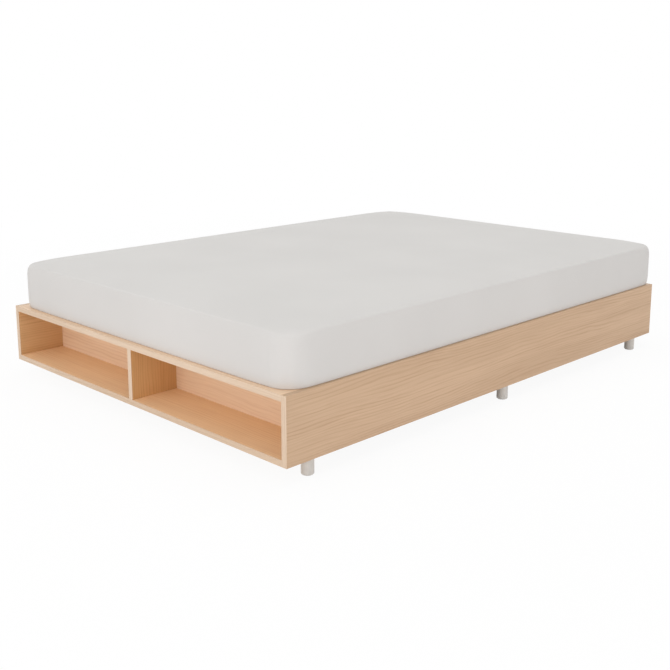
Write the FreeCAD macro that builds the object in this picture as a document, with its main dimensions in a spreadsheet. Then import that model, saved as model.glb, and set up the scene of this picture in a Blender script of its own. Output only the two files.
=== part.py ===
import FreeCAD, Part
import math
import os

import Sketcher
from FreeCAD import Placement, Rotation, Vector

# A low double bed: boards in a wood-look finish on round legs, two open niches at the foot end,
# a slatted deck and a foam mattress in a fitted cover.
# X runs across the bed, Y from the foot to the head, Z up from the floor. The origin is on the
# floor, below the middle of the bed's overall box.

doc = FreeCAD.newDocument("double_bed")
sheet = doc.addObject("Spreadsheet::Sheet", "sizes")
pieces = []


class Size:
    """A length held as a number and as the sheet's expression, so that a sum keeps both."""

    def __init__(self, number, text):
        self.number = number
        self.text = text

    def __add__(self, other):
        other = as_size(other)
        return Size(self.number + other.number, f"({self.text} + {other.text})")

    def __sub__(self, other):
        other = as_size(other)
        return Size(self.number - other.number, f"({self.text} - {other.text})")

    def __mul__(self, other):
        other = as_size(other)
        return Size(self.number * other.number, f"({self.text} * {other.text})")

    def __truediv__(self, other):
        other = as_size(other)
        return Size(self.number / other.number, f"({self.text} / {other.text})")

    def __neg__(self):
        return Size(-self.number, f"(-1 * {self.text})")

    def __radd__(self, other):
        return as_size(other) + self

    def __rsub__(self, other):
        return as_size(other) - self

    def __rmul__(self, other):
        return as_size(other) * self


def as_size(value):
    return value if isinstance(value, Size) else Size(value, f"{value:.9f}")


def size(alias, number):
    """Write one driving dimension into the sheet, in millimetres or as a count."""
    row = len(sheet.getUsedCells()) // 2 + 1
    sheet.set(f"A{row}", alias)
    sheet.set(f"B{row}", str(number))
    sheet.setAlias(f"B{row}", alias)
    return Size(number, f"sizes.{alias}")


# Base of boards
base_width = size("base_width", 1400)
base_length = size("base_length", 1900)
panel_height = size("panel_height", 193)
board = size("board", 18)
edge_band = size("edge_band", 1)
niche_depth = size("niche_depth", 164)

# Legs, each with a steel stud that screws into the wood above it
leg_height = size("leg_height", 50)
leg_diameter = size("leg_diameter", 36)
leg_chamfer = size("leg_chamfer", 3)
leg_side_inset = size("leg_side_inset", 28)
leg_end_inset = size("leg_end_inset", 100)
middle_leg_offset = size("middle_leg_offset", 22)
stud_diameter = size("stud_diameter", 8)
stud_depth = size("stud_depth", 25)
stud_bite = size("stud_bite", 14)
block_width = size("block_width", 45)
block_length = size("block_length", 90)
block_height = size("block_height", 45)

# Deck of slats on cleats and a centre beam
beam_width = size("beam_width", 36)
bracket_leg = size("bracket_leg", 40)
bracket_height = size("bracket_height", 60)
bracket_sheet = size("bracket_sheet", 2)
cleat_lip = size("cleat_lip", 30)
cleat_ledge = size("cleat_ledge", 30)
cleat_height = size("cleat_height", 30)
slat_count = size("slat_count", 12)
slat_width = size("slat_width", 90)
slat_thickness = size("slat_thickness", 20)
slat_chamfer = size("slat_chamfer", 2)
slat_end_gap = size("slat_end_gap", 0.5)
tape_width = size("tape_width", 25)
tape_thickness = size("tape_thickness", 1)
tape_from_side = size("tape_from_side", 320)

# Knock-down joints of the boards, and the grooves that hold the niche's back and divider
groove = size("groove", 6)
cam_diameter = size("cam_diameter", 15)
cam_height = size("cam_height", 12.5)
cam_roof = size("cam_roof", 5)
cam_setback = size("cam_setback", 24)
cam_from_front = size("cam_from_front", 60)
cam_from_top = size("cam_from_top", 64)
cross_length = size("cross_length", 9)
cross_width = size("cross_width", 1.4)
cross_depth = size("cross_depth", 2.5)
bolt_shank = size("bolt_shank", 5)
bolt_head = size("bolt_head", 7)
bolt_head_length = size("bolt_head_length", 4)
bolt_bite = size("bolt_bite", 11)
dowel_diameter = size("dowel_diameter", 8)
dowel_length = size("dowel_length", 30)
dowel_in_face = size("dowel_in_face", 11)
dowel_edge = size("dowel_edge", 32)
fit_clearance = size("fit_clearance", 0.1)

# Mattress, set back from the base's sides and foot and a little over its head end
mattress_height = size("mattress_height", 163)
side_margin = size("side_margin", 8)
foot_margin = size("foot_margin", 16)
head_overhang = size("head_overhang", 36)
corner_radius = size("corner_radius", 66)
side_bulge = size("side_bulge", 9)
top_round = size("top_round", 7)
bottom_round = size("bottom_round", 6)
crown = size("crown", 12)
crown_reach = size("crown_reach", 180)
cover_thickness = size("cover_thickness", 2)
soft_clearance = size("soft_clearance", 0.3)
hem_reach = size("hem_reach", 130)
elastic_width = size("elastic_width", 8)
doc.recompute()

# Places that the sizes give
foot_y = -(base_length + head_overhang) / 2
head_y = foot_y + base_length
deck = leg_height + panel_height
inner_x = base_width / 2 - board
niche_rear = foot_y + niche_depth + board
head_inside = head_y - board
slat_under = deck - slat_thickness
mattress_width = base_width - 2 * side_margin
mattress_length = base_length - foot_margin + head_overhang

X, Y, Z = Vector(1, 0, 0), Vector(0, 1, 0), Vector(0, 0, 1)


def turned_to(z_axis, x_axis):
    """The rotation that lays a piece's own Z and X along two directions."""
    return Rotation(x_axis, z_axis.cross(x_axis), z_axis, "ZXY")


UPRIGHT = Rotation()
ALONG = {1: turned_to(X, -Z), -1: turned_to(-X, Z)}


def bind(item, path, value):
    item.setExpression(path, as_size(value).text)


def put(item, at, rotation=UPRIGHT):
    item.Placement = Placement(Vector(), rotation)
    for axis, value in zip("xyz", at):
        bind(item, f"Placement.Base.{axis}", value)
    return item


def node(item, label):
    item.Label = label
    pieces.append(item)
    return item


def box(name, low, extent, rotation=UPRIGHT):
    item = doc.addObject("Part::Box", name)
    for path, value in zip(("Length", "Width", "Height"), extent):
        bind(item, path, value)
    return put(item, low, rotation)


def rod(name, diameter, length, start, rotation=UPRIGHT):
    item = doc.addObject("Part::Cylinder", name)
    bind(item, "Radius", diameter / 2)
    bind(item, "Height", length)
    return put(item, start, rotation)


def bored(name, blank, tools):
    """A board or block with its bores cut out."""
    if len(tools) > 1:
        joined = doc.addObject("Part::MultiFuse", f"{name}_bores")
        joined.Shapes = tools
    else:
        joined = tools[0]
    cut = doc.addObject("Part::Cut", name)
    cut.Base = blank
    cut.Tool = joined
    return cut


def group(label, members):
    item = doc.addObject("Part::Compound", label)
    item.Links = members
    return node(item, label)


def origin_plane(body, role):
    return next(plane for plane in body.Origin.OriginFeatures if plane.Role == role)


def new_sketch(body, name, role):
    sketch = body.newObject("Sketcher::SketchObject", name)
    sketch.AttachmentSupport = [(origin_plane(body, role), "")]
    sketch.MapMode = "FlatFace"
    return sketch


def measure(sketch, kind, *arguments):
    """Add a dimension to a sketch; its last argument is a Size."""
    value = arguments[-1]
    index = sketch.addConstraint(Sketcher.Constraint(kind, *arguments[:-1], value.number))
    bind(sketch, f"Constraints[{index}]", value)


def outline(sketch, points):
    """A closed outline of straight lines through points given as sizes from the sketch's origin."""
    corners = [(as_size(x), as_size(y)) for x, y in points]
    spots = [Vector(x.number, y.number, 0) for x, y in corners]
    count = len(spots)
    for index in range(count):
        sketch.addGeometry(Part.LineSegment(spots[index], spots[(index + 1) % count]), False)
    for index in range(count):
        sketch.addConstraint(Sketcher.Constraint("Coincident", index, 2, (index + 1) % count, 1))
    for index, (x, y) in enumerate(corners):
        if x.number:
            measure(sketch, "DistanceX", -1, 1, index, 1, x)
        else:
            sketch.addConstraint(Sketcher.Constraint("PointOnObject", index, 1, -2))
        if y.number:
            measure(sketch, "DistanceY", -1, 1, index, 1, y)
        else:
            sketch.addConstraint(Sketcher.Constraint("PointOnObject", index, 1, -1))


def turned(name, points, at, rotation=UPRIGHT):
    """A body turned about its own Z axis from an outline of radius and height."""
    body = doc.addObject("PartDesign::Body", name)
    sketch = new_sketch(body, f"{name}_outline", "XZ_Plane")
    outline(sketch, points)
    turn = body.newObject("PartDesign::Revolution", f"{name}_turn")
    turn.Profile = sketch
    turn.ReferenceAxis = (sketch, ["V_Axis"])
    turn.Angle = 360
    return put(body, at, rotation)


# Where each cross board meets the side panels: its bolt and its dowel, as Y and Z, and the place of
# the cam, which sits in a face that nobody sees: the underside, or the side towards the deck.
opening_low = leg_height + board
opening_high = deck - board
opening = opening_high - opening_low
cam_y = foot_y + cam_from_front
cam_z = deck - cam_from_top
top_level = deck - board / 2
bottom_level = leg_height + board / 2
head_line = head_y - board / 2
flat_dowel_y = niche_rear - dowel_edge
cross_boards = {
    "niche_top": {
        "low": (-inner_x, foot_y + edge_band, opening_high),
        "extent": (2 * inner_x, niche_depth + board - edge_band, board),
        "bolt": (cam_y, top_level),
        "dowel": (flat_dowel_y, top_level),
        "cam": (cam_y, opening_high),
        "outward": -Z,
    },
    "niche_bottom": {
        "low": (-inner_x, foot_y + edge_band, leg_height),
        "extent": (2 * inner_x, niche_depth + board - edge_band, board),
        "bolt": (cam_y, bottom_level),
        "dowel": (flat_dowel_y, bottom_level),
        "cam": (cam_y, leg_height),
        "outward": -Z,
    },
    "head_panel": {
        "low": (-inner_x, head_inside, leg_height),
        "extent": (2 * inner_x, board, panel_height - edge_band),
        "bolt": (head_line, cam_z),
        "dowel": (head_line, leg_height + dowel_edge),
        "cam": (head_inside, cam_z),
        "outward": -Y,
    },
}
side_names = {1: "right", -1: "left"}
cuts = {label: [] for label in [*cross_boards, *side_names]}
cams, bolts, dowels = [], [], []
dowel_in_end = dowel_length - dowel_in_face
dowel_bore = dowel_diameter + 2 * fit_clearance
bolt_bore = bolt_head + 2 * fit_clearance
shank_bore = bolt_shank + 2 * fit_clearance
pocket = cam_diameter + 2 * fit_clearance


def cam_lock(name, at, rotation):
    """The cam: a round plug with a slot for the bolt's head and a cross recess in its face."""
    depth = cam_height - cam_roof
    reach, half = cross_length / 2, cross_width / 2
    blank = rod(f"{name}_blank", cam_diameter, cam_height, (0, 0, -cam_height))
    entry_low = (-bolt_head_length, -bolt_bore / 2, -cam_height)
    entry = box(f"{name}_entry", entry_low, (cam_diameter, bolt_bore, depth))
    long_cut = box(f"{name}_long", (-reach, -half, -cross_depth), (cross_length, cross_width, cross_depth))
    wide_cut = box(f"{name}_wide", (-half, -reach, -cross_depth), (cross_width, cross_length, cross_depth))
    return put(bored(name, blank, [entry, long_cut, wide_cut]), at, rotation)


def cam_bolt(name, at, rotation):
    """The bolt: screwed into the side panel, with a head at the cam's middle that the cam draws in."""
    shank, head = bolt_shank / 2, bolt_head / 2
    head_start = cam_setback - bolt_head_length / 2
    head_end = cam_setback + bolt_head_length / 2
    points = [(0, -bolt_bite), (shank, -bolt_bite), (shank, head_start)]
    points += [(head, head_start), (head, head_end), (0, head_end)]
    return turned(name, points, at, rotation)


for label, place in cross_boards.items():
    for side, side_name in side_names.items():
        tag = f"{label}_{side_name}"
        end_x = side * inner_x
        bolt_at = (end_x, *place["bolt"])
        dowel_at = (end_x, *place["dowel"])
        cam_at = (side * (inner_x - cam_setback), *place["cam"])
        outward = place["outward"]
        cuts[label] += [
            rod(f"{tag}_pocket", pocket, cam_height, cam_at, turned_to(-outward, side * X)),
            rod(f"{tag}_bolt_bore", bolt_bore, cam_setback, bolt_at, ALONG[-side]),
            rod(f"{tag}_dowel_end", dowel_bore, dowel_in_end, dowel_at, ALONG[-side]),
        ]
        cuts[side] += [
            rod(f"{tag}_shank_bore", shank_bore, bolt_bite, bolt_at, ALONG[side]),
            rod(f"{tag}_dowel_face", dowel_bore, dowel_in_face, dowel_at, ALONG[side]),
        ]
        cams.append(cam_lock(f"{tag}_cam", cam_at, turned_to(outward, side * X)))
        bolts.append(cam_bolt(f"{tag}_bolt", bolt_at, ALONG[-side]))
        dowel_start = (end_x - side * dowel_in_end, *place["dowel"])
        dowels.append(rod(f"{tag}_dowel", dowel_diameter, dowel_length, dowel_start, ALONG[side]))

# The niche's back sits in rebates along the rear of the top and bottom boards, the divider in a
# groove across each of them.
for label, level in (("niche_top", opening_high), ("niche_bottom", opening_low - groove)):
    cuts[label] += [
        box(f"{label}_rebate", (-inner_x, foot_y + niche_depth, level), (2 * inner_x, board, groove)),
        box(f"{label}_groove", (-board / 2, foot_y, level), (board, niche_depth, groove)),
    ]

# Legs in three pairs: under the niche floor, at mid-length and near the head. Each hangs on a stud,
# which softwood blocks take where no board lies above.
leg_x = base_width / 2 - leg_side_inset
leg_rows = {
    "foot": foot_y + leg_end_inset,
    "middle": foot_y + base_length / 2 + middle_leg_offset,
    "head": head_y - leg_end_inset,
}
stud_bore = stud_diameter + 2 * fit_clearance
stud_foot = leg_height - stud_depth
studs = []


def leg(name, x, y):
    """A round plastic leg with a chamfered foot and a bore for its stud."""
    radius, bore = leg_diameter / 2, stud_bore / 2
    points = [(0, 0), (radius - leg_chamfer, 0), (radius, leg_chamfer), (radius, leg_height)]
    points += [(bore, leg_height), (bore, stud_foot), (0, stud_foot)]
    return turned(name, points, (x, y, 0))


for row, y in leg_rows.items():
    legs = []
    for side, side_name in side_names.items():
        x = side * leg_x
        tag = f"{row}_{side_name}"
        legs.append(leg(f"leg_{tag}", x, y))
        studs.append(rod(f"stud_{tag}", stud_diameter, stud_depth + stud_bite, (x, y, stud_foot)))
        stud_hole = rod(f"stud_hole_{tag}", stud_bore, stud_bite, (x, y, leg_height))
        if row == "foot":
            cuts["niche_bottom"].append(stud_hole)
        else:
            low_x = inner_x - block_width if side > 0 else -inner_x
            block_low = (low_x, y - block_length / 2, leg_height)
            blank = box(f"block_{tag}", block_low, (block_width, block_length, block_height))
            node(bored(f"bored_block_{tag}", blank, [stud_hole]), f"leg_block_{tag}")
    group(f"legs_{row}", legs)

# The side panels, with bands on their front, rear and top edges.
for side, side_name in side_names.items():
    low_x = inner_x if side > 0 else -base_width / 2
    between_bands = base_length - 2 * edge_band
    blank = box(
        f"side_{side_name}_blank",
        (low_x, foot_y + edge_band, leg_height),
        (board, between_bands, panel_height - edge_band),
    )
    node(bored(f"side_{side_name}_bored", blank, cuts[side]), f"side_panel_{side_name}")
    end_band = (board, edge_band, panel_height)
    front = box(f"front_band_{side_name}", (low_x, foot_y, leg_height), end_band)
    rear = box(f"rear_band_{side_name}", (low_x, head_y - edge_band, leg_height), end_band)
    top_low = (low_x, foot_y + edge_band, deck - edge_band)
    top = box(f"top_band_{side_name}", top_low, (board, between_bands, edge_band))
    group(f"side_bands_{side_name}", [front, rear, top])

# The boards between them.
for label, place in cross_boards.items():
    node(bored(f"{label}_bored", box(f"{label}_blank", place["low"], place["extent"]), cuts[label]), label)
deck_length = head_inside - niche_rear
beam_height = slat_under - leg_height
plain_boards = {
    "centre_beam": ((-beam_width / 2, niche_rear, leg_height), (beam_width, deck_length, beam_height)),
    "niche_back": (
        (-inner_x, foot_y + niche_depth, opening_low - groove),
        (2 * inner_x, board, opening + 2 * groove),
    ),
    "niche_divider": (
        (-board / 2, foot_y + edge_band, opening_low - groove),
        (board, niche_depth - edge_band, opening + 2 * groove),
    ),
    "niche_top_band": ((-inner_x, foot_y, opening_high), (2 * inner_x, edge_band, board)),
    "niche_bottom_band": ((-inner_x, foot_y, leg_height), (2 * inner_x, edge_band, board)),
    "divider_band": ((-board / 2, foot_y, opening_low), (board, edge_band, opening)),
    "head_band": ((-inner_x, head_inside, deck - edge_band), (2 * inner_x, board, edge_band)),
}
for label, (low, extent) in plain_boards.items():
    node(box(label, low, extent), label)
group("cam_locks", cams)
group("cam_bolts", bolts)
group("dowels", dowels)
group("leg_studs", studs)


def drawn_out(name, role, points, length, midplane):
    """A straight-sided outline drawn out to a length."""
    body = doc.addObject("PartDesign::Body", name)
    sketch = new_sketch(body, f"{name}_outline", role)
    outline(sketch, points)
    pad = body.newObject("PartDesign::Pad", f"{name}_pad")
    pad.Profile = sketch
    pad.Midplane = midplane
    bind(pad, "Length", length)
    return body


# Angle brackets hold the centre beam to the niche's back and to the head panel, one on each side.
brackets = []
bracket_low = leg_height + (beam_height - bracket_height) / 2
for end_name, level, along in (("foot", niche_rear, 1), ("head", head_inside, -1)):
    for side, side_name in side_names.items():
        arm_x, arm_y = side * bracket_leg, along * bracket_leg
        skin_x, skin_y = side * bracket_sheet, along * bracket_sheet
        angle = [(0, 0), (arm_x, 0), (arm_x, skin_y), (skin_x, skin_y), (skin_x, arm_y), (0, arm_y)]
        bracket = drawn_out(f"bracket_{end_name}_{side_name}", "XY_Plane", angle, bracket_height, False)
        brackets.append(put(bracket, (side * beam_width / 2, level, bracket_low)))
group("beam_brackets", brackets)

# A rebated cleat along each side panel: its lip fills the deck's edge, its ledge carries the slats.
for side, side_name in side_names.items():
    lip, ledge = -side * cleat_lip, -side * (cleat_lip + cleat_ledge)
    rise = cleat_height + slat_thickness
    step = [(0, 0), (ledge, 0), (ledge, cleat_height), (lip, cleat_height), (lip, rise), (0, rise)]
    cleat = drawn_out(f"cleat_{side_name}", "XZ_Plane", step, deck_length, True)
    cleat_at = (side * inner_x, niche_rear + deck_length / 2, slat_under - cleat_height)
    node(put(cleat, cleat_at), f"cleat_{side_name}")

# Slats lie across the cleats and the beam, their long edges broken; two tapes keep them apart.
slat_gap = (deck_length - slat_count * slat_width) / (slat_count + 1)
slat_length = 2 * (inner_x - cleat_lip - slat_end_gap)
half, high, nick = slat_width / 2, slat_thickness, slat_chamfer
slat_section = [(nick - half, 0), (half - nick, 0), (half, nick), (half, high - nick)]
slat_section += [(half - nick, high), (nick - half, high), (-half, high - nick), (-half, nick)]
for index in range(round(slat_count.number)):
    label = f"slat_{index + 1:02d}"
    y = niche_rear + slat_gap + slat_width / 2 + index * (slat_width + slat_gap)
    node(put(drawn_out(label, "YZ_Plane", slat_section, slat_length, True), (0, y, slat_under)), label)
for side, side_name in side_names.items():
    label = f"slat_tape_{side_name}"
    low_x = side * (inner_x - tape_from_side) - tape_width / 2
    tape_low = (low_x, niche_rear + slat_gap, slat_under - tape_thickness)
    node(box(label, tape_low, (tape_width, deck_length - 2 * slat_gap, tape_thickness)), label)

# Mattress: lofted through rounded rectangles, with full sides that turn in at the top and bottom, a
# small round at each edge and a low crown. The steps are angles round each edge, and shares of half
# the side's height and of the crown.
bottom_steps = (0, 90)
side_shares = (-0.7, 0, 0.7)
top_steps = (90, 45, 10)
crown_shares = (0.5, 1)


def rounded_rectangle(body, name, width, length, radius, level):
    sketch = new_sketch(body, name, "XY_Plane")
    bind(sketch, "AttachmentOffset.Base.z", level)
    half_x, half_y, bend = width.number / 2, length.number / 2, radius.number
    straight_x, straight_y = half_x - bend, half_y - bend
    lines = [
        (Vector(-straight_x, -half_y, 0), Vector(straight_x, -half_y, 0)),
        (Vector(half_x, -straight_y, 0), Vector(half_x, straight_y, 0)),
        (Vector(straight_x, half_y, 0), Vector(-straight_x, half_y, 0)),
        (Vector(-half_x, straight_y, 0), Vector(-half_x, -straight_y, 0)),
    ]
    centres = [
        Vector(straight_x, -straight_y, 0),
        Vector(straight_x, straight_y, 0),
        Vector(-straight_x, straight_y, 0),
        Vector(-straight_x, -straight_y, 0),
    ]
    for index in range(4):
        sketch.addGeometry(Part.LineSegment(*lines[index]), False)
        start = (index - 1) * math.pi / 2
        circle = Part.Circle(centres[index], Z, bend)
        sketch.addGeometry(Part.ArcOfCircle(circle, start, start + math.pi / 2), False)
    for index in range(8):
        sketch.addConstraint(Sketcher.Constraint("Tangent", index, 2, (index + 1) % 8, 1))
    for index, direction in zip((0, 2, 4, 6), ("Horizontal", "Vertical", "Horizontal", "Vertical")):
        sketch.addConstraint(Sketcher.Constraint(direction, index))
    for index in (3, 5, 7):
        sketch.addConstraint(Sketcher.Constraint("Equal", 1, index))
    sketch.addConstraint(Sketcher.Constraint("Symmetric", 0, 1, 4, 1, -1, 1))
    measure(sketch, "Radius", 1, radius)
    measure(sketch, "DistanceX", 6, 1, 2, 1, width)
    measure(sketch, "DistanceY", 0, 1, 4, 1, length)
    return sketch


def mattress_steps(skin):
    """Inset from the widest outline, height and corner radius of each section, a skin's depth inside."""
    rim = mattress_height - crown - skin
    low = skin
    half_side = (rim - low) / 2
    lower, upper = bottom_round - skin, top_round - skin
    steps = []
    for angle in bottom_steps:
        sine, cosine = math.sin(math.radians(angle)), math.cos(math.radians(angle))
        steps.append((lower * (1 - sine), low + lower * (1 - cosine)))
    for share in side_shares:
        steps.append((as_size(0), low + half_side * (1 + share)))
    for angle in top_steps:
        sine, cosine = math.sin(math.radians(angle)), math.cos(math.radians(angle))
        steps.append((upper * (1 - sine), rim - upper * (1 - cosine)))
    sections = []
    for rounding, level in steps:
        from_middle = (level - low - half_side) / half_side
        turned_in = from_middle * from_middle
        inset = skin + rounding + side_bulge * turned_in * turned_in
        sections.append((inset, level, corner_radius - inset))
    last_inset, last_level, last_radius = sections[-1]
    for share in crown_shares:
        rise = (mattress_height - skin - last_level) * (1 - (1 - share) ** 2)
        sections.append((last_inset + crown_reach * share, last_level + rise, last_radius))
    return sections


def mattress_loft(body, kind, skin):
    tag = f"{body.Name}_{kind}"
    sketches = []
    for index, (inset, level, radius) in enumerate(mattress_steps(skin)):
        width = mattress_width - 2 * inset
        length = mattress_length - 2 * inset
        sketches.append(rounded_rectangle(body, f"{tag}_{index}", width, length, radius, level))
    loft = body.newObject(f"PartDesign::{kind}Loft", tag)
    loft.Profile = sketches[0]
    loft.Sections = sketches[1:]
    loft.Ruled = True
    return loft


mattress_at = (0, foot_y + foot_margin + mattress_length / 2, deck + soft_clearance)
core = doc.addObject("PartDesign::Body", "mattress_core")
mattress_loft(core, "Additive", cover_thickness + soft_clearance)
node(put(core, mattress_at), "mattress_core")

# The cover wraps the core and turns under it; an elastic edges the opening underneath.
cover = doc.addObject("PartDesign::Body", "mattress_cover")
mattress_loft(cover, "Additive", as_size(0))
mattress_loft(cover, "Subtractive", cover_thickness)
opening_width = mattress_width - 2 * hem_reach
opening_length = mattress_length - 2 * hem_reach
rim = (opening_width, opening_length, corner_radius, as_size(0))
mouth = rounded_rectangle(cover, "hem_opening", *rim)
hem = cover.newObject("PartDesign::Pocket", "hem_cut")
hem.Profile = mouth
hem.Reversed = True
bind(hem, "Length", cover_thickness)
node(put(cover, mattress_at), "mattress_cover")

elastic = doc.addObject("PartDesign::Body", "cover_elastic")
outer = rounded_rectangle(elastic, "elastic_outer", *rim)
band = elastic.newObject("PartDesign::Pad", "elastic_band")
band.Profile = outer
bind(band, "Length", cover_thickness)
inner = rounded_rectangle(
    elastic,
    "elastic_inner",
    opening_width - 2 * elastic_width,
    opening_length - 2 * elastic_width,
    corner_radius - elastic_width,
    as_size(0),
)
clear = elastic.newObject("PartDesign::Pocket", "elastic_clear")
clear.Profile = inner
clear.Reversed = True
bind(clear, "Length", cover_thickness)
node(put(elastic, mattress_at), "cover_elastic")

doc.recompute()
failed = [item.Name for item in doc.Objects if "Invalid" in item.State or "Error" in item.State]
failed += [item.Label for item in pieces if item.Shape.isNull() or not item.Shape.isValid()]
if failed:
    raise RuntimeError(f"these objects failed: {failed}")
os.makedirs("parts", exist_ok=True)
for item in pieces:
    item.Shape.exportStep(f"parts/{item.Label}.step")
print(len(pieces), "pieces written")
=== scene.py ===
import math

import bmesh
import bpy
from mathutils import Matrix, Vector


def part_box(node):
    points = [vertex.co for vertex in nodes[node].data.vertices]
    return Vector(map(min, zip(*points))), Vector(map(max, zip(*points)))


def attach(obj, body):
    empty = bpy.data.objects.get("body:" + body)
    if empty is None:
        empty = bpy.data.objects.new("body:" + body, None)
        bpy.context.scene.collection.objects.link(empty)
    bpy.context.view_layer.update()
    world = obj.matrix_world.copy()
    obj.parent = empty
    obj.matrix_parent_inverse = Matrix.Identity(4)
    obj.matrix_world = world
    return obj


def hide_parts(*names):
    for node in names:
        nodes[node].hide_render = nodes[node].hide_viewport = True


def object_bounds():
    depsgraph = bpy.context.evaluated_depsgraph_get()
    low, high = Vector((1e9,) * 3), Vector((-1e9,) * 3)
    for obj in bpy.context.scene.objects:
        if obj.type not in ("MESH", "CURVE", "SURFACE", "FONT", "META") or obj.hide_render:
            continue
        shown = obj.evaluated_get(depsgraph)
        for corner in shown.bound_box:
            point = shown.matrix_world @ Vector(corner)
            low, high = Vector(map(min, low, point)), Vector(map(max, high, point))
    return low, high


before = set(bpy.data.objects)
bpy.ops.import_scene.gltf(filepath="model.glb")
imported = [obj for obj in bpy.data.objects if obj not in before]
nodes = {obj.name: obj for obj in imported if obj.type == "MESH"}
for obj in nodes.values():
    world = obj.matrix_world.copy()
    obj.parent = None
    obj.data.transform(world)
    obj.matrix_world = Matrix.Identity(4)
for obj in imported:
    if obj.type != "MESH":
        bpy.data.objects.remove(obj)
cad_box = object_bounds()

# Side panels: two long 18 mm boards faced with printed light-oak paper, the grain along the bed.
# The cross boards butt against their inner faces and are drawn up tight with cams. Where a panel closes
# the end of a niche, its face is painted a warmer, more orange shade: painted bounce light and shade.
across_bed, along_bed, upwards = range(3)


def paint(red, green, blue):
    """A colour read as eight-bit sRGB, turned into the linear values that shaders take."""
    parts = [value / 255 for value in (red, green, blue)]
    linear = [p / 12.92 if p <= 0.04045 else ((p + 0.055) / 1.055) ** 2.4 for p in parts]
    return (*linear, 1.0)


class Flow:
    """One output in a node tree. Arithmetic on it adds Math nodes."""

    def __init__(self, tree, output=None):
        self.tree = tree
        self.output = output

    def node(self, kind, settings, sockets, output=0):
        """Add a node: its settings first, then the values or links of its sockets."""
        made = self.tree.nodes.new(kind)
        for name, setting in settings.items():
            setattr(made, name, setting)
        for key, value in sockets.items():
            if isinstance(value, Flow):
                self.tree.links.new(value.output, made.inputs[key])
            else:
                made.inputs[key].default_value = value
        return Flow(self.tree, made.outputs[output])

    def math(self, operation, first, second=0.0):
        return self.node("ShaderNodeMath", {"operation": operation}, {0: first, 1: second})

    def __add__(self, other):
        return self.math("ADD", self, other)

    def __radd__(self, other):
        return self.math("ADD", other, self)

    def __sub__(self, other):
        return self.math("SUBTRACT", self, other)

    def __rsub__(self, other):
        return self.math("SUBTRACT", other, self)

    def __mul__(self, other):
        return self.math("MULTIPLY", self, other)

    def __rmul__(self, other):
        return self.math("MULTIPLY", other, self)

    def between(self, low, high):
        """0 at or below low, 1 at or above high."""
        return self.node("ShaderNodeMapRange", {"clamp": True}, {0: self, 1: low, 2: high})

    def mix(self, start, end):
        """A colour between two, with this value as the share of the second."""
        return self.node("ShaderNodeMix", {"data_type": "RGBA"}, {0: self, 6: start, 7: end}, 2)

    def part(self, axis):
        """One coordinate of a place."""
        return self.node("ShaderNodeSeparateXYZ", {}, {"Vector": self}, axis)

    def wave(self, spacing):
        """A sine, from -1 to 1, that repeats at a spacing."""
        return self.math("SINE", self * (2 * math.pi / spacing))

    def noise(self, scale, detail):
        """Cloudy noise at a place, from 0 to 1."""
        return self.node("ShaderNodeTexNoise", {}, {"Vector": self, "Scale": scale, "Detail": detail})


def new_finish(name):
    """A material, its shader, and the place on the piece that its pattern follows."""
    finish = bpy.data.materials.new(name)
    finish.use_nodes = True
    shader = finish.node_tree.nodes["Principled BSDF"]
    place = Flow(finish.node_tree).node("ShaderNodeTexCoord", {}, {}, "Object")
    return finish, shader, place


def dress(shader, colour, roughness, relief, strength, depth, shine=0.5):
    """Feed a shader its colour, roughness and fine relief, and set how strongly it mirrors."""
    bump = relief.node("ShaderNodeBump", {}, {"Height": relief, "Strength": strength, "Distance": depth})
    for socket, flow in (("Base Color", colour), ("Roughness", roughness), ("Normal", bump)):
        flow.tree.links.new(flow.output, shader.inputs[socket])
    shader.inputs["Specular IOR Level"].default_value = shine


def stretched(place, along, width, length, detail, start=0.0):
    """Noise drawn out along one axis, with features of a given width and length in metres."""
    scale = [1 / width] * 3
    scale[along] = 1 / length
    sockets = {"Vector": place, "Location": (start, start, start), "Scale": scale}
    return place.node("ShaderNodeMapping", {}, sockets).noise(scale=1.0, detail=detail)


def swayed(place, along, reach):
    """The place, moved sideways by a slow and a quicker noise so that the grain wanders."""
    slow = stretched(place, along, width=0.12, length=0.45, detail=2.0) - 0.5
    quick = stretched(place, along, width=0.03, length=0.11, detail=1.0, start=17.0) - 0.5
    drift = slow * reach + quick * (reach * 0.25)
    aside = place.node("ShaderNodeCombineXYZ", {}, {axis: drift for axis in range(3) if axis != along})
    return place.node("ShaderNodeVectorMath", {"operation": "ADD"}, {0: place, 1: aside})


oak_sway = 0.013
oak_ring = 0.0095


def oak_figure(place, along, start, shades):
    """Light-oak print: growth rings cut lengthwise, fine lines and pores. Colour, roughness, relief."""
    pale, mid, deep = shades
    wander = swayed(place, along, oak_sway)
    sides = [float(axis != along) for axis in range(3)]
    depth = place.node("ShaderNodeVectorMath", {"operation": "DOT_PRODUCT"}, {0: wander, 1: sides}, 1)
    tone = stretched(wander, along, width=0.09, length=0.9, detail=1.0, start=start)
    bold = stretched(wander, along, width=0.016, length=0.55, detail=2.0, start=start + 7.0)
    lines = stretched(wander, along, width=0.0028, length=0.16, detail=2.0, start=start + 3.0)
    pores = stretched(wander, along, width=0.0011, length=0.022, detail=1.0, start=start + 5.0)
    rings = (depth * (1 / oak_ring) + tone * 7.0).wave(1.0).between(0.0, 1.0)
    dark = rings * bold.between(0.26, 0.60)
    veins = bold.between(0.50, 0.66)
    fine = lines.between(0.42, 0.68)
    pits = pores.between(0.62, 0.72)
    ground = (tone.between(0.35, 0.68) * 0.95).mix(mid, pale)
    colour = (dark * 0.36 + veins * 0.10 + fine * 0.22 + pits * 0.10).mix(ground, deep)
    return colour, 0.50 + dark * 0.06 + pits * 0.08, 1.0 - pits * 0.7 - fine * 0.3


def finish_nodes(finish, *names):
    """Give the frame's own pieces a finish."""
    for name in names:
        mesh = nodes[name].data
        mesh.materials.clear()
        mesh.materials.append(finish)


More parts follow.
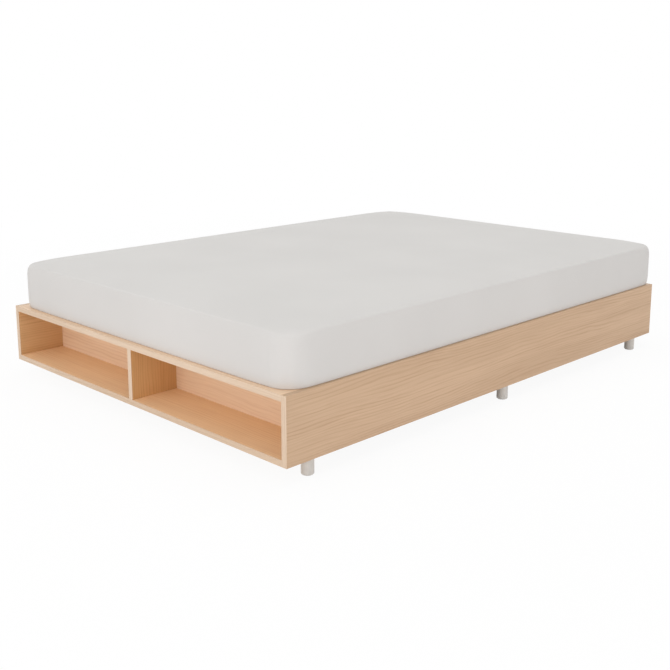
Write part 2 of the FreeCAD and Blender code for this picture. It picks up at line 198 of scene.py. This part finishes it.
oak = (paint(210, 179, 148), paint(201, 170, 139), paint(173, 138, 106))
# Painted bounce light and shade: a warmer, more orange shade of the print for the sides' faces inside the
# niche.
niche_wall_painted_bounce_light = (paint(221, 181, 134), paint(213, 172, 125), paint(188, 143, 96))
oak_surface = {"strength": 0.25, "depth": 0.0003, "shine": 0.35}
niche_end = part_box("niche_back")[1].x
niche_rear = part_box("niche_back")[0].y
tone_edge = 0.001


def panel_oak(name, start):
    """The sides' print, with a warmer, more orange shade painted on the face that closes the end of a
    niche, as painted bounce light and shade.
    """
    finish, shader, place = new_finish(name)
    outer, roughness, relief = oak_figure(place, along_bed, start, oak)
    # The faces inside the niche get painted bounce light and shade: the same print in a warmer, more
    # orange shade.
    inner = oak_figure(place, along_bed, start, niche_wall_painted_bounce_light)[0]
    from_middle = place.math("ABSOLUTE", place.part(across_bed))
    on_inner_face = 1.0 - from_middle.between(niche_end + tone_edge / 2, niche_end + tone_edge * 1.5)
    in_niche = 1.0 - place.part(along_bed).between(niche_rear, niche_rear + tone_edge)
    dress(shader, (on_inner_face * in_niche).mix(outer, inner), roughness, relief, **oak_surface)
    return finish


finish_nodes(panel_oak("oak_right_side", 0.0), "side_panel_right")
finish_nodes(panel_oak("oak_left_side", 21.0), "side_panel_left")

# Edge bands: 1 mm strips glued along the board edges that show. Those on the front edges are paler
# than the boards; those along the sides' top edges have the boards' own print.
pale_oak = (paint(223, 200, 176), paint(215, 190, 164), paint(197, 169, 142))
band_sheet = 0.001


def printed_oak(name, along, start, shades):
    """A print of one tone all over, its grain along an axis."""
    finish, shader, place = new_finish(name)
    dress(shader, *oak_figure(place, along, start, shades), **oak_surface)
    return finish


side_band, shader, place = new_finish("side_bands")
ends, end_roughness, end_relief = oak_figure(place, upwards, 4.0, pale_oak)
tops, top_roughness, top_relief = oak_figure(place, along_bed, 0.0, oak)
foot_end = cad_box[0].y
on_top = place.part(along_bed).between(foot_end + band_sheet * 0.9, foot_end + band_sheet * 1.1)
on_end = 1.0 - on_top
roughness = on_top * top_roughness + on_end * end_roughness
relief = on_top * top_relief + on_end * end_relief
dress(shader, on_top.mix(ends, tops), roughness, relief, **oak_surface)
finish_nodes(side_band, "side_bands_left", "side_bands_right")
front_band = printed_oak("band_across_bed", across_bed, 9.0, pale_oak)
finish_nodes(front_band, "niche_top_band", "niche_bottom_band")
finish_nodes(printed_oak("band_upright", upwards, 2.0, pale_oak), "divider_band")
finish_nodes(printed_oak("band_head", across_bed, 13.0, oak), "head_band")

# Niche at the foot end: top, bottom and back boards with the grain across the bed, and a divider
# with the grain upright. The back and the divider sit in grooves of the top and bottom boards.
# The niche boards' shades are painted light. The back, top and floor are lighter and warmer than the
# sides' print to make up for the niche's shade, and the divider is a more saturated orange as painted
# bounce light.
back_oak_painted_light = (paint(243, 213, 183), paint(236, 205, 173), paint(214, 175, 139))
shelf_oak_painted_light = (paint(252, 219, 178), paint(247, 212, 170), paint(226, 184, 139))
divider_oak_painted_bounce_light = (paint(221, 178, 126), paint(213, 168, 115), paint(186, 136, 84))
finish_nodes(printed_oak("oak_niche_top", across_bed, 31.0, back_oak_painted_light), "niche_top")
finish_nodes(printed_oak("oak_niche_floor", across_bed, 37.0, shelf_oak_painted_light), "niche_bottom")
finish_nodes(printed_oak("oak_niche_back", across_bed, 43.0, back_oak_painted_light), "niche_back")
finish_nodes(printed_oak("oak_divider", upwards, 49.0, divider_oak_painted_bounce_light), "niche_divider")

# Head panel: one board across the head end, faced with the sides' print, its grain across the bed.
# Cams in its ends draw it up to both side panels.
finish_nodes(printed_oak("oak_head", across_bed, 57.0, oak), "head_panel")

# Knock-down fittings: die-cast cams in blind pockets, which catch the heads of plated bolts, and
# beech dowels beside them that keep the boards in line. The steel serves for the other fasteners too.


def plated(name, colour, roughness):
    """Bare or plated metal with a faint cloudy finish."""
    finish, shader, place = new_finish(name)
    cloud = place.noise(scale=180.0, detail=4.0)
    worn = cloud.between(0.35, 0.7)
    dull = (*(part * 0.78 for part in colour[:3]), 1.0)
    dress(shader, worn.mix(dull, colour), roughness + worn * 0.14, cloud, strength=0.15, depth=0.0002)
    shader.inputs["Metallic"].default_value = 1.0
    return finish


def planed_wood(name, along, start, pale, deep):
    """Planed wood: wide growth rings, fine fibres and a few resin flecks."""
    finish, shader, place = new_finish(name)
    wander = swayed(place, along, 0.03)
    rings = stretched(wander, along, width=0.011, length=1.1, detail=2.0, start=start)
    fibres = stretched(wander, along, width=0.0012, length=0.05, detail=2.0, start=start + 2.0)
    flecks = stretched(place, along, width=0.02, length=0.06, detail=2.0, start=start + 6.0)
    late = rings.between(0.47, 0.66)
    fuzz = fibres.between(0.35, 0.75)
    spots = flecks.between(0.70, 0.78)
    colour = (late * 0.55 + fuzz * 0.18 + spots * 0.3).mix(pale, deep)
    relief = fuzz * 0.6 + late * 0.4
    dress(shader, colour, 0.62 + fuzz * 0.12, relief, strength=0.3, depth=0.0003, shine=0.3)
    return finish


zinc = plated("die_cast_zinc", paint(176, 176, 174), 0.48)
steel = plated("plated_steel", paint(196, 196, 192), 0.28)
beech = planed_wood("beech", across_bed, 3.0, paint(222, 190, 150), paint(196, 156, 112))
finish_nodes(zinc, "cam_locks")
finish_nodes(steel, "cam_bolts", "leg_studs", "beam_brackets")
finish_nodes(beech, "dowels")

# Legs: short round feet of light-grey moulded plastic, each on a plated stud. The middle and head
# studs screw into softwood blocks glued and screwed to the side panels.
leg_plastic, shader, place = new_finish("leg_plastic")
speckle = place.noise(scale=1400.0, detail=3.0)
leg_cloud = place.noise(scale=60.0, detail=2.0).between(0.3, 0.7)
leg_grey = leg_cloud.mix(paint(205, 201, 195), paint(213, 209, 203))
leg_roughness = 0.42 + speckle.between(0.3, 0.7) * 0.14
dress(shader, leg_grey, leg_roughness, speckle, strength=0.2, depth=0.0002)
finish_nodes(leg_plastic, "legs_foot", "legs_middle", "legs_head")

pine_pale = paint(229, 203, 160)
pine_deep = paint(203, 163, 113)
pine_along = planed_wood("pine_along_bed", along_bed, 0.0, pine_pale, pine_deep)
blocks = [f"leg_block_{row}_{side}" for row in ("middle", "head") for side in ("left", "right")]
finish_nodes(pine_along, *blocks)

# Centre beam: an upright softwood board from the niche back to the head panel, held at each end by
# two steel angle brackets.
finish_nodes(pine_along, "centre_beam")

# Deck: rebated softwood cleats along the side panels carry planed slats, and two woven tapes below
# the slats keep them apart.
finish_nodes(pine_along, "cleat_left", "cleat_right")
slat_names = sorted(name for name in nodes if name.startswith("slat_") and "tape" not in name)
for index, name in enumerate(slat_names):
    finish_nodes(planed_wood(f"pine_{name}", across_bed, 11.0 * index, pine_pale, pine_deep), name)

tape_rib = 0.0016
tape_warp = 0.0022
tape_cloth, shader, place = new_finish("woven_tape")
weave = place.part(along_bed).wave(tape_rib) * place.part(across_bed).wave(tape_warp) * 0.5 + 0.5
tape_white = weave.mix(paint(214, 210, 200), paint(238, 236, 229))
dress(shader, tape_white, 0.8 + weave * 0.1, weave, strength=0.5, depth=0.0004)
finish_nodes(tape_cloth, "slat_tape_left", "slat_tape_right")

# Staples: flat plated wire, bent and driven up through tape and wood, one at every slat on each
# tape. Only the crowns show, so only they are made.
crown_size = (0.010, 0.0012, 0.0006)
crown_round = 0.0002


def new_piece(name, mesh, finish):
    """A piece made from a bmesh, in its place and with its finish."""
    data = bpy.data.meshes.new(name)
    mesh.to_mesh(data)
    mesh.free()
    data.materials.append(finish)
    piece = bpy.data.objects.new(name, data)
    bpy.context.scene.collection.objects.link(piece)
    return piece


def spread(pattern, places):
    """Copies of one small shape, each at a point, its own Z along a direction."""
    many = bmesh.new()
    single = bpy.data.meshes.new("single")
    pattern.to_mesh(single)
    pattern.free()
    for spot, facing in places:
        first = len(many.verts)
        many.from_mesh(single)
        many.verts.ensure_lookup_table()
        turn = Vector(facing).to_track_quat("Z", "Y").to_matrix().to_4x4()
        bmesh.ops.transform(many, matrix=Matrix.Translation(spot) @ turn, verts=many.verts[first:])
    bpy.data.meshes.remove(single)
    return many


def round_off(mesh, edges, radius, segments):
    """Round some edges to a radius."""
    bmesh.ops.bevel(
        mesh, geom=edges, offset=radius, segments=segments, profile=0.5, affect="EDGES", material=-1
    )


crown = bmesh.new()
bmesh.ops.create_cube(crown, size=1.0)
bmesh.ops.scale(crown, vec=crown_size, verts=crown.verts)
round_off(crown, crown.edges[:], crown_round, segments=2)
staple_places = []
for tape in ("slat_tape_left", "slat_tape_right"):
    tape_low, tape_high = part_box(tape)
    for name in slat_names:
        slat_low, slat_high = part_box(name)
        spot = ((tape_low.x + tape_high.x) / 2, (slat_low.y + slat_high.y) / 2, tape_low.z)
        staple_places.append((spot, (0, 0, -1)))
staples = new_piece("staples", spread(crown, staple_places), steel)
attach(staples, "base")

# Wood screws: plated, with sunk heads and a cross recess. They hold the cleats and leg blocks to
# the sides, the brackets to their boards, and the first and last slats to the cleats.
head_radius = 0.004
head_rim = 0.0006
head_rise = 0.0003
recess_border = 0.0008
recess_arm = 0.0023
recess_hollow = 0.0008
recess_depth = 0.0012
recess_floor_share = 0.7
cleat_screws = 7
cleat_screw_height = 0.015
block_screw_inset = 0.018
block_screw_height = 0.030
bracket_sheet = 0.002
bracket_screw_inset = 0.014
bracket_screw_share = 0.62
slat_screw_inset = 0.015

screw = bmesh.new()
bmesh.ops.create_circle(screw, cap_ends=True, segments=24, radius=head_radius)
face = screw.faces[:][0]
if face.normal.z < 0:
    bmesh.ops.reverse_faces(screw, faces=[face])
bmesh.ops.inset_region(screw, faces=[face], thickness=head_rim, depth=head_rise, use_boundary=True)
bmesh.ops.inset_region(screw, faces=[face], thickness=recess_border)
for corner in face.verts:
    turn = math.atan2(corner.co.y, corner.co.x)
    reach = recess_arm if abs(math.sin(2 * turn)) < 0.35 else recess_hollow
    corner.co.x = reach * math.cos(turn)
    corner.co.y = reach * math.sin(turn)
sunk = bmesh.ops.extrude_discrete_faces(screw, faces=[face])["faces"][0]
for corner in sunk.verts:
    corner.co.x *= recess_floor_share
    corner.co.y *= recess_floor_share
    corner.co.z -= recess_depth

screw_places = []
for side in ("left", "right"):
    cleat_low, cleat_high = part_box(f"cleat_{side}")
    inner = cleat_high.x if side == "left" else cleat_low.x
    facing = (1, 0, 0) if side == "left" else (-1, 0, 0)
    for step in range(cleat_screws):
        y = cleat_low.y + (cleat_high.y - cleat_low.y) * (step + 0.5) / cleat_screws
        screw_places.append(((inner, y, cleat_low.z + cleat_screw_height), facing))
    for row in ("middle", "head"):
        block_low, block_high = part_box(f"leg_block_{row}_{side}")
        inner = block_high.x if side == "left" else block_low.x
        for y in (block_low.y + block_screw_inset, block_high.y - block_screw_inset):
            screw_places.append(((inner, y, block_low.z + block_screw_height), facing))
bracket_low, bracket_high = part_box("beam_brackets")
beam_low, beam_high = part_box("centre_beam")
for z in (bracket_low.z + bracket_screw_inset, bracket_high.z - bracket_screw_inset):
    for side, face_x, plate_x in ((-1, beam_low.x, bracket_low.x), (1, beam_high.x, bracket_high.x)):
        for y, inward in ((bracket_low.y, 1), (bracket_high.y, -1)):
            reach = abs(plate_x - face_x) * bracket_screw_share
            on_board = (face_x + side * reach, y + inward * bracket_sheet, z)
            on_beam = (face_x + side * bracket_sheet, y + inward * reach, z)
            screw_places += [(on_board, (0, inward, 0)), (on_beam, (side, 0, 0))]
for name in (slat_names[0], slat_names[-1]):
    slat_low, slat_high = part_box(name)
    for x in (slat_low.x + slat_screw_inset, slat_high.x - slat_screw_inset):
        screw_places.append(((x, (slat_low.y + slat_high.y) / 2, slat_high.z), (0, 0, 1)))
screws = new_piece("wood_screws", spread(screw, screw_places), steel)
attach(screws, "base")

# Mattress block: firm foam with rounded corners, crisp edges and full sides. Its shape is the cover's,
# blown up a little as cloth so that the faces fill out, and set back inside the cover.
low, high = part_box("mattress_cover")
middle = (low + high) / 2
half = (high - low) / 2
corner_radius = 0.070
top_round = 0.005
bottom_round = 0.002
edge_strip = 0.004
turn_in = 0.004
corner_turn_in = 0.011
low_turn_in = 0.0005
low_corner_turn_in = 0.006
crown_fall = 0.012
corner_fall = 0.006
crown_reach = 0.18
cut_counts = {across_bed: 36, along_bed: 50, upwards: 10}
fill_pressure = 4.0
fill_frames = 20
rim_hold = 0.8
most_swell = 0.0015
foam_set_back = 0.0026
level_within = 0.0001
cut_within = 0.00001


def level_edges(mesh, level):
    """The edges that lie at a level."""
    return [e for e in mesh.edges if all(abs(v.co.z - level) < level_within for v in e.verts)]


def slice_at(mesh, faces, spot, across):
    """Cut some faces along a plane, and give the faces that now lie in their place."""
    geom = {item for face in faces for item in (face, *face.edges, *face.verts)}
    cut = bmesh.ops.bisect_plane(mesh, geom=list(geom), dist=cut_within, plane_co=spot, plane_no=across)
    return [item for item in cut["geom"] if isinstance(item, bmesh.types.BMFace)]


def place_on_slab(spot):
    """Height from -1 to 1, and the nearness to the sides and to the ends, each from 0 to 1."""
    height = (spot.z - middle.z) / half.z
    near_side = max(0.0, 1.0 - (half.x - abs(spot.x - middle.x)) / crown_reach) ** 2
    near_end = max(0.0, 1.0 - (half.y - abs(spot.y - middle.y)) / crown_reach) ** 2
    return height, near_side, near_end


slab = bmesh.new()
bmesh.ops.create_cube(slab, size=2.0)
bmesh.ops.scale(slab, vec=half, verts=slab.verts)
bmesh.ops.translate(slab, vec=middle, verts=slab.verts)
upright = [e for e in slab.edges if abs(e.verts[0].co.z - e.verts[1].co.z) > half.z]
round_off(slab, upright, corner_radius, segments=8)
round_off(slab, level_edges(slab, high.z), top_round, segments=3)
round_off(slab, level_edges(slab, low.z), bottom_round, segments=3)
lid = [f for f in slab.faces if f.normal.z > 0.99]
bmesh.ops.inset_region(slab, faces=lid, thickness=edge_strip, use_even_offset=True)
below_rim = Vector((0.0, 0.0, high.z - top_round - edge_strip))
slice_at(slab, slab.faces[:], below_rim, Vector((0.0, 0.0, 1.0)))
cut_reach = half - Vector((corner_radius, corner_radius, top_round)) / 2
for axis, count in cut_counts.items():
    across = Vector([float(index == axis) for index in range(3)])
    for step in range(count + 1):
        spot = middle + across * cut_reach[axis] * (2 * step / count - 1)
        slice_at(slab, slab.faces[:], spot, across)
for vertex in slab.verts:
    spot = vertex.co
    height, near_side, near_end = place_on_slab(spot)
    at_corner = near_side * near_end
    if height > 0:
        turned = (turn_in + corner_turn_in * at_corner) * height**6
    else:
        turned = (low_turn_in + low_corner_turn_in * at_corner) * height**8
    spot.x -= turned * (spot.x - middle.x) / half.x
    spot.y -= turned * (spot.y - middle.y) / half.y
    spot.z -= (crown_fall * max(near_side, near_end) + corner_fall * at_corner) * max(0.0, height)

foam, shader, place = new_finish("foam")
cells = place.node("ShaderNodeTexVoronoi", {"feature": "F1"}, {"Vector": place, "Scale": 700.0})
open_cells = cells.between(0.15, 0.75)
foam_tone = open_cells * 0.6 + place.noise(scale=9.0, detail=3.0) * 0.4
foam_cream = foam_tone.mix(paint(222, 210, 178), paint(240, 231, 206))
dress(shader, foam_cream, 0.9 + open_cells * 0.08, open_cells, strength=0.5, depth=0.0006, shine=0.15)
slab.normal_update()
slab.verts.index_update()
rim = [v.index for v in slab.verts if 0.2 < v.normal.z < 0.98]
core = new_piece("foam_block", slab, foam)


def apply_modifiers(piece):
    """Turn what the modifiers make into the piece's own mesh."""
    graph = bpy.context.evaluated_depsgraph_get()
    done = bpy.data.meshes.new_from_object(piece.evaluated_get(graph))
    piece.modifiers.clear()
    piece.data = done


def shade_smooth(piece):
    piece.data.polygons.foreach_set("use_smooth", [True] * len(piece.data.polygons))


held = core.vertex_groups.new(name="held")
held.add([v.index for v in core.data.vertices if v.co.z < low.z + bottom_round], 1.0, "REPLACE")
held.add(rim, rim_hold, "REPLACE")
before = [v.co.copy() for v in core.data.vertices]
cloth = core.modifiers.new("fill_out", "CLOTH")
cloth.settings.use_pressure = True
cloth.settings.uniform_pressure_force = fill_pressure
cloth.settings.vertex_group_mass = "held"
cloth.settings.effector_weights.gravity = 0.0
cloth.point_cache.frame_start = 1
cloth.point_cache.frame_end = fill_frames
for step in range(1, fill_frames + 1):
    bpy.context.scene.frame_set(step)
apply_modifiers(core)
for vertex, start in zip(core.data.vertices, before):
    height, near_side, near_end = place_on_slab(start)
    most = most_swell * max(0.0, 1.0 - max(near_side, near_end) * height**2)
    move = vertex.co - start
    if move.length > most:
        vertex.co = start + move * (most / move.length)
bpy.context.scene.frame_set(1)
smooth = core.modifiers.new("smooth", "SUBSURF")
smooth.levels = 1
smooth.render_levels = 1
apply_modifiers(core)
shade_smooth(core)
grown = Vector([max(abs(v.co[axis] - middle[axis]) for v in core.data.vertices) for axis in range(3)])
for vertex in core.data.vertices:
    vertex.co.x = middle.x + (vertex.co.x - middle.x) * half.x / grown.x
    vertex.co.y = middle.y + (vertex.co.y - middle.y) * half.y / grown.y
    if vertex.co.z > middle.z:
        vertex.co.z = middle.z + (vertex.co.z - middle.z) * half.z / grown.z
skin = bmesh.new()
skin.from_mesh(core.data)
inner_side = bmesh.new()
inner_side.from_mesh(core.data)
for vertex, out in [(v, v.normal.copy()) for v in inner_side.verts]:
    vertex.co -= out * foam_set_back
inner_side.to_mesh(core.data)
inner_side.free()
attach(core, "mattress")
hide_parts("mattress_core")

# Mattress cover: one smooth knitted cloth, pulled tight over the block and turned under it, where it
# ends in a wide opening with rounded corners.
cover_sheet = 0.0018
flat_within = 0.001
turned_under = 0.13
opening_round = 0.066
loop_spacing = 0.0018
row_spacing = 0.0014
opening = Vector((half.x - turned_under, half.y - turned_under, 0.0))
under_middle = Vector((middle.x, middle.y, low.z))
planes = []
for sign_x in (-1, 1):
    for sign_y in (-1, 1):
        centre = Vector((sign_x * (opening.x - opening_round), sign_y * (opening.y - opening_round), 0.0))
        for degrees in range(0, 91, 18):
            turn = math.radians(degrees)
            way = Vector((sign_x * math.cos(turn), sign_y * math.sin(turn), 0.0))
            planes.append((under_middle + centre + way * opening_round, way))
flat_level = low.z + flat_within
underside = [f for f in skin.faces if f.normal.z < -0.9 and f.calc_center_median().z < flat_level]
for spot, way in planes:
    underside = slice_at(skin, underside, spot, way)
mouth = [
    f for f in underside if all((f.calc_center_median() - spot).dot(way) < 0 for spot, way in planes)
]
bmesh.ops.delete(skin, geom=mouth, context="FACES")

cover_cloth, shader, place = new_finish("cover_cloth")
loops = (place.part(across_bed) + place.part(upwards)).wave(loop_spacing)
rows = (place.part(along_bed) - place.part(upwards)).wave(row_spacing)
knit = loops * rows * 0.5 + 0.5
lint = place.noise(scale=420.0, detail=3.0)
cloth_cloud = place.noise(scale=3.0, detail=2.0).between(0.3, 0.7)
cloth_tone = cloth_cloud * 0.5 + knit * 0.3 + lint.between(0.3, 0.7) * 0.2
cloth_white = cloth_tone.mix(paint(207, 205, 202), paint(214, 212, 209))
cloth_relief = knit * 0.7 + lint * 0.3
dress(shader, cloth_white, 0.82 + lint * 0.1, cloth_relief, strength=0.22, depth=0.0004, shine=0.2)
shader.inputs["Sheen Weight"].default_value = 0.15
cover = new_piece("fitted_cover", skin, cover_cloth)
wall = cover.modifiers.new("cloth_thickness", "SOLIDIFY")
wall.thickness = cover_sheet
wall.offset = -1.0
apply_modifiers(cover)
shade_smooth(cover)
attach(cover, "mattress")
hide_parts("mattress_cover")

# Elastic: a woven band sewn round the cover's opening, flat under the block. It draws the cloth in
# and keeps the cover tight.
elastic_width = 0.008
elastic_sheet = 0.0016
elastic_soft_edge = 0.0004
elastic_rib = 0.0024
band_low, band_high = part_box("cover_elastic")
band_half = (band_high - band_low) / 2
ring = bmesh.new()
bmesh.ops.create_grid(ring, x_segments=1, y_segments=1, size=1.0)
bmesh.ops.scale(ring, vec=(band_half.x, band_half.y, 1.0), verts=ring.verts)
bmesh.ops.translate(ring, vec=(band_low + band_high) / 2, verts=ring.verts)
bmesh.ops.bevel(
    ring, geom=ring.verts[:], offset=opening_round, segments=8, profile=0.5, affect="VERTICES", material=-1
)
whole = ring.faces[:]
bmesh.ops.inset_region(ring, faces=whole, thickness=elastic_width, use_even_offset=True, use_boundary=True)
bmesh.ops.delete(ring, geom=whole, context="FACES")

elastic_weave, shader, place = new_finish("elastic_weave")
ribs = (place.part(across_bed) + place.part(along_bed)).wave(elastic_rib) * 0.5 + 0.5
gathers = stretched(place, upwards, width=0.009, length=0.1, detail=1.0).between(0.3, 0.7)
elastic_white = (ribs * 0.5 + gathers * 0.5).mix(paint(205, 203, 199), paint(236, 235, 232))
elastic_relief = ribs * 0.4 + gathers * 0.6
dress(shader, elastic_white, 0.75 + ribs * 0.15, elastic_relief, strength=0.6, depth=0.0008)
elastic = new_piece("hem_elastic", ring, elastic_weave)
wall = elastic.modifiers.new("band_thickness", "SOLIDIFY")
wall.thickness = elastic_sheet
wall.offset = 0.0
soften = elastic.modifiers.new("soft_edges", "BEVEL")
soften.width = elastic_soft_edge
soften.segments = 2
apply_modifiers(elastic)
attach(elastic, "mattress")
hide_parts("cover_elastic")

# Floor: a plain white studio floor. To the camera it glows, a little less near the bed, so that it
# stays white and still shows the bed's soft shadow.
floor_reach = 30.0
glow_near_bed = 0.93
shadow_reach = 1.6
full_glow_reach = 4.0
floor_white = (0.95, 0.95, 0.95, 1.0)
pure_white = (1.0, 1.0, 1.0, 1.0)


def seen_directly(flow):
    """1 where a ray comes from the camera, a glossy face or a clear piece, and 0 for other light."""
    kinds = ("Is Camera Ray", "Is Glossy Ray", "Is Transmission Ray")
    camera_ray, glossy_ray, clear_ray = (flow.node("ShaderNodeLightPath", {}, {}, kind) for kind in kinds)
    return flow.math("MAXIMUM", camera_ray, flow.math("MAXIMUM", glossy_ray, clear_ray))


floor_mesh = bmesh.new()
bmesh.ops.create_grid(floor_mesh, x_segments=1, y_segments=1, size=floor_reach)
floor_paint, shader, place = new_finish("floor_paint")
away = place.node("ShaderNodeVectorMath", {"operation": "LENGTH"}, {0: place}, 1)
glow = glow_near_bed + away.between(shadow_reach, full_glow_reach) * (1.0 - glow_near_bed)
lit = place.node("ShaderNodeBsdfDiffuse", {}, {"Color": floor_white})
bright = place.node("ShaderNodeEmission", {}, {"Color": pure_white, "Strength": 1.0})
both = place.node("ShaderNodeMixShader", {}, {0: seen_directly(place) * glow, 1: lit, 2: bright})
floor_out = floor_paint.node_tree.nodes["Material Output"]
floor_paint.node_tree.links.new(both.output, floor_out.inputs["Surface"])
floor = new_piece("floor", floor_mesh, floor_paint)

# Studio light: a white surround, dimmer as a light than it looks, and six large soft lamps round the
# bed. Two of them are faintly rosy, as the upright faces of the cover show.
surround_light = 0.60
studio = bpy.data.worlds.new("studio")
bpy.context.scene.world = studio
studio.use_nodes = True
tree = studio.node_tree
tree.nodes.clear()
flow = Flow(tree)
surround = flow.node("ShaderNodeBackground", {}, {"Color": pure_white, "Strength": surround_light})
backdrop = flow.node("ShaderNodeBackground", {}, {"Color": pure_white, "Strength": 1.0})
both = flow.node("ShaderNodeMixShader", {}, {0: seen_directly(flow), 1: surround, 2: backdrop})
tree.links.new(both.output, tree.nodes.new("ShaderNodeOutputWorld").inputs["Surface"])


def soft_lamp(name, at, aim, size, power, tint=(1.0, 1.0, 1.0)):
    """A rectangular lamp at a point, aimed at another, with its width and height in metres."""
    lamp = bpy.data.lights.new(name, "AREA")
    lamp.shape = "RECTANGLE"
    lamp.size, lamp.size_y = size
    lamp.energy = power
    lamp.color = tint
    lamp_object = bpy.data.objects.new(name, lamp)
    lamp_object.location = at
    lamp_object.rotation_euler = (Vector(aim) - Vector(at)).to_track_quat("-Z", "Y").to_euler()
    bpy.context.scene.collection.objects.link(lamp_object)


rosy = (1.0, 0.962, 0.972)
soft_lamp("foot_light", at=(0.4, -4.2, 0.5), aim=(0.1, -0.9, 0.2), size=(3.0, 0.8), power=28.0, tint=rosy)
soft_lamp("front_light", at=(0.2, -3.2, 2.9), aim=(0.0, -0.9, 0.1), size=(2.5, 1.5), power=15.0)
soft_lamp("side_light", at=(4.6, -0.7, 1.0), aim=(0.7, -0.3, 0.2), size=(3.0, 2.0), power=40.0, tint=rosy)
soft_lamp("left_light", at=(-4.6, 0.4, 1.0), aim=(-0.7, 0.1, 0.2), size=(3.0, 2.0), power=26.0)
soft_lamp("head_light", at=(-0.4, 5.0, 1.0), aim=(0.0, 0.9, 0.2), size=(3.0, 2.0), power=26.0)
soft_lamp("top_light", at=(0.0, 0.1, 4.2), aim=(0.0, 0.1, 0.2), size=(3.5, 3.5), power=55.0)

# Camera: at the photograph's corner view of foot end and right side. The focal length was fitted to
# the photograph in pixels, and the frame's downward shift is partly taken up by a tilt.
photo_focal_px = 983.5
photo_width_px = 670
frame_shift = -0.1
tilt_down = 11.15
turn_left = 44.938
camera_data = bpy.data.cameras.new("camera")
camera_data.sensor_width = 36.0
camera_data.lens = photo_focal_px / photo_width_px * camera_data.sensor_width
camera_data.shift_y = frame_shift
camera = bpy.data.objects.new("camera", camera_data)
camera.location = (2.4485, -2.546, 1.0347)
camera.rotation_euler = (math.radians(90 - tilt_down), 0.0, math.radians(turn_left))
bpy.context.scene.collection.objects.link(camera)
bpy.context.scene.camera = camera
bpy.context.scene.view_settings.view_transform = "Standard"
